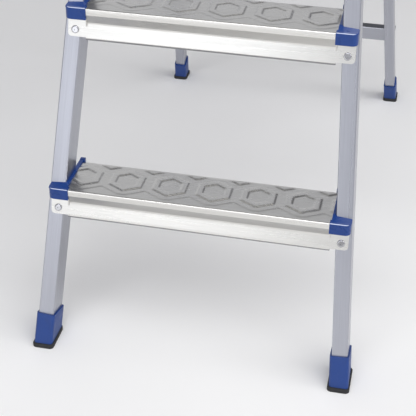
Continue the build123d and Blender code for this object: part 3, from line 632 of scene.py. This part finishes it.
pressed = rolled_sheet("pressed_sheet", sheet_colour, (0.26, 0.31))
# painted shade: the rolled hem is coloured far darker than the sheet
hem_painted_shade = rolled_sheet("hem_painted_shade", (0.34, 0.34, 0.35), (0.40, 0.50))
# painted shade: the undercut under the nose is coloured darker than the sheet
undercut_painted_shade = rolled_sheet("undercut_painted_shade", (0.55, 0.545, 0.535), (0.28, 0.34))
drawn_tube = satin_metal(
    "drawn_tube",
    rail_colour,
    (LEAN, 0, 0),
    (FINE, FINE, 40 * MM),
    (12 * MM, 12 * MM, 120 * MM),
    (0.28, 0.38),
    0.010 * MM,
)
rolled_channel = satin_metal(
    "rolled_channel",
    rail_colour,
    ACROSS,
    (FINE, FINE, 60 * MM),
    (10 * MM, 10 * MM, 150 * MM),
    (0.30, 0.40),
    0.010 * MM,
)
bright_rivet = satin_metal(
    "bright_rivet",
    (0.52, 0.52, 0.54),
    (0, 0, 0),
    (0.4 * MM, 0.4 * MM, 0.4 * MM),
    (2 * MM, 2 * MM, 2 * MM),
    (0.08, 0.16),
    0.01 * MM,
)
zinc_steel = satin_metal(
    "zinc_steel",
    (0.50, 0.51, 0.54),
    ACROSS,
    (0.5 * MM, 0.5 * MM, 0.5 * MM),
    (3 * MM, 3 * MM, 3 * MM),
    (0.28, 0.42),
    0.02 * MM,
)
blue_gloss = moulded_plastic(
    "blue_gloss",
    blue,
    (0.25, 0.35),
    0.8 * MM,
    0.012 * MM,
    # the edge colour is a painted highlight line along the caps' upper front edges
    edge=(0.62, 0.68, 0.85),
    IOR=1.5,
    Specular_IOR_Level=0.2,
    Coat_Weight=0.4,
    Coat_Roughness=0.05,
)
blue_matt = moulded_plastic("blue_matt", blue, (0.42, 0.55), 0.5 * MM, 0.03 * MM, IOR=1.5)
dark_plastic = moulded_plastic(
    "dark_plastic", (0.030, 0.034, 0.055), (0.38, 0.5), 0.5 * MM, 0.03 * MM, IOR=1.5
)
rubber = moulded_plastic("rubber", (0.022, 0.022, 0.024), (0.7, 0.85), 0.7 * MM, 0.05 * MM)

slot_materials = {
    "tread_sheet": pressed,
    "blue_cap": blue_gloss,
    "blue_shoe": blue_matt,
    "dark_plastic": dark_plastic,
    "sole": rubber,
    "rivet": bright_rivet,
    "steel_pin": zinc_steel,
    "hoop_tube": drawn_tube,
    "brace": rolled_channel,
}
for part in frame["record"]["subparts"]:
    if part["material_slot"] in slot_materials:
        paint(part["node"], slot_materials[part["material_slot"]])

# ------------------------------------------------------------------- pieces
for number in (1, 2, 3):
    tread = pressed_tread(number)
    tread.data.materials.append(pressed)
    tread.data.materials.append(hem_painted_shade)
    tread.data.materials.append(undercut_painted_shade)
embossed_platform().data.materials.append(pressed)


# ------------------------------------------------------------------- floor, light and camera
FLOOR_RADIUS = 40.0
WORLD_STRENGTH = 0.64
UPWARD = Vector((0, 0, 1))
TOWARDS_PANEL = Vector((0.42, 0.78, 0.45)).normalized()    # a dark one, behind to the right
CAMERA_YAW, CAMERA_PITCH, CAMERA_ROLL = (math.radians(a) for a in (11.888, 33.629, 0.536))
CAMERA_FROM_NOSE = Vector((0.2756, -1.2301, 0.8368))
CAMERA_LENS = 97.53                        # mm, on a sensor 36 mm wide


def studio_floor():
    """A large pale floor of matt vinyl."""
    made = bmesh.new()
    bmesh.ops.create_circle(made, cap_ends=True, segments=96, radius=FLOOR_RADIUS)
    mesh = bpy.data.meshes.new("studio_floor")
    made.to_mesh(mesh)
    made.free()
    material, tree, shader = new_material("pale_floor", Roughness=0.75)
    clouds = noise(tree, placed(tree, (0, 0, 0), (0.5, 0.5, 0.5)), detail=2.0)
    shade = ramp(tree, clouds, (0.3, (0.90, 0.895, 0.89)), (0.7, (0.93, 0.925, 0.92)))
    tree.links.new(shade, shader.inputs["Base Color"])
    mesh.materials.append(material)
    floor = add_object("studio_floor", mesh)


def soft_box(name, place, target, width, height, watts, tint=(1, 1, 1)):
    light = bpy.data.lights.new(name, "AREA")
    light.shape = "RECTANGLE"
    light.size, light.size_y = width, height
    light.energy = watts
    light.color = tint
    made = add_object(name, light)
    made.location = place
    made.rotation_euler = (Vector(target) - Vector(place)).to_track_quat("-Z", "Y").to_euler()


def studio_light():
    """Bright walls under a dark ceiling, one dark panel behind, and four soft boxes."""
    world = bpy.data.worlds.new("studio")
    bpy.context.scene.world = world
    world.use_nodes = True
    tree = world.node_tree
    background = tree.nodes["Background"]
    direction = add_node(tree, "ShaderNodeTexCoord")
    walls, ceiling, panel = (0.95, 0.96, 1.0), (0.14, 0.14, 0.15), (0.22, 0.22, 0.24)
    height = dot_product(tree, direction.outputs["Generated"], UPWARD)
    towards_panel = dot_product(tree, direction.outputs["Generated"], TOWARDS_PANEL)
    sky = ramp(tree, height, (0.64, walls), (0.84, ceiling))
    panel_share = ramp(tree, towards_panel, (0.88, 0.0), (0.965, 1.0))
    shaded = blend_colours(tree, panel_share, sky, panel)
    tree.links.new(shaded, background.inputs["Color"])
    background.inputs["Strength"].default_value = WORLD_STRENGTH
    low, high = cad_box
    middle = (Vector(low) + Vector(high)) / 2
    cool = (0.95, 0.97, 1)
    soft_box("front_top_box", (-0.6, -2.4, 2.7), middle, 1.8, 1.0, watts=20)
    soft_box(
        "left_front_box", (-0.52, -2.4, 0.5), (0, -0.43, 0.25), 0.9, 0.85, watts=3.3, tint=cool
    )
    soft_box("overhead_box", (1.1, -1.7, 3.7), (0, -0.3, 0), 3.4, 2.2, watts=80)
    soft_box("right_box", (3.2, -0.4, 1.9), (0, 0, 0), 1.5, 1.5, watts=28)


def photo_camera():
    """The camera, placed from the first tread's nose: a long lens looking down from the right."""
    low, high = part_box("tread_1")
    nose = Vector((0, low.y, high.z - CAD_EMBOSS))
    yaw, pitch, roll = CAMERA_YAW, CAMERA_PITCH, CAMERA_ROLL
    forward = Vector(
        (-math.sin(yaw) * math.cos(pitch), math.cos(yaw) * math.cos(pitch), -math.sin(pitch))
    )
    level = Vector((math.cos(yaw), math.sin(yaw), 0))
    upward = level.cross(forward)
    across = math.cos(roll) * level + math.sin(roll) * upward
    upward = math.cos(roll) * upward - math.sin(roll) * level
    lens = bpy.data.cameras.new("photo_camera")
    lens.lens = CAMERA_LENS
    lens.sensor_width = 36.0
    camera = add_object("photo_camera", lens)
    turn = Matrix((across, upward, -forward)).transposed().to_4x4()
    camera.matrix_world = Matrix.Translation(nose + CAMERA_FROM_NOSE) @ turn
    bpy.context.scene.camera = camera


bpy.context.scene.view_settings.view_transform = "Standard"
studio_floor()
studio_light()
photo_camera()
